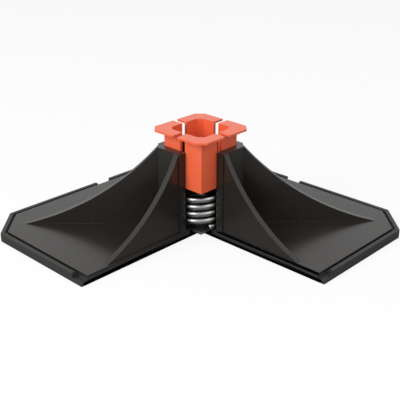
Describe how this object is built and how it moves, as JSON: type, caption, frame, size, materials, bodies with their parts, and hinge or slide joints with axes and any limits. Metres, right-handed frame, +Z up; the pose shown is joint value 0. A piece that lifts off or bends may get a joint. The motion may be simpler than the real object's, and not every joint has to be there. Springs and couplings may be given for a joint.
{
  "type": "raised floor pedestal",
  "caption": "Low raised floor pedestal: square ribbed base with one open quadrant, rubber pad, central square tower and a slotted square head carried on a coil spring.",
  "frame": {"origin": "centre of the square base at floor level", "axes": "+Z up along the tower, +X and +Y along the base's sides, open quadrant towards +X and -Y"},
  "size_m": [0.2, 0.2, 0.0699],
  "materials": {
    "pad_rubber": "matte black rubber",
    "tray_plastic": "matte dark grey moulded plastic",
    "tower_plastic": "satin dark grey moulded plastic",
    "seal_rubber": "black rubber strip",
    "plate_steel": "plain steel plate",
    "spring_steel": "bright plated spring wire",
    "cap_plastic": "black moulded plastic",
    "head_plastic": "satin orange moulded plastic"
  },
  "bodies": {
    "base": {"base_pad": "pad_rubber", "base_tray": "tray_plastic", "deck_tower": "tower_plastic", "edge_seal": "seal_rubber", "centre_plate": "plate_steel", "spring": "spring_steel"},
    "head": {"spring_cap": "cap_plastic", "head": "head_plastic"}
  },
  "joints": [
    {"name": "head_slide", "type": "slide", "parent": "base", "child": "head", "axis": [0, 0, 1], "range_m": [-0.0038, 0], "stiffness_N_per_m": 26000, "deforming": ["spring"]}
  ]
}
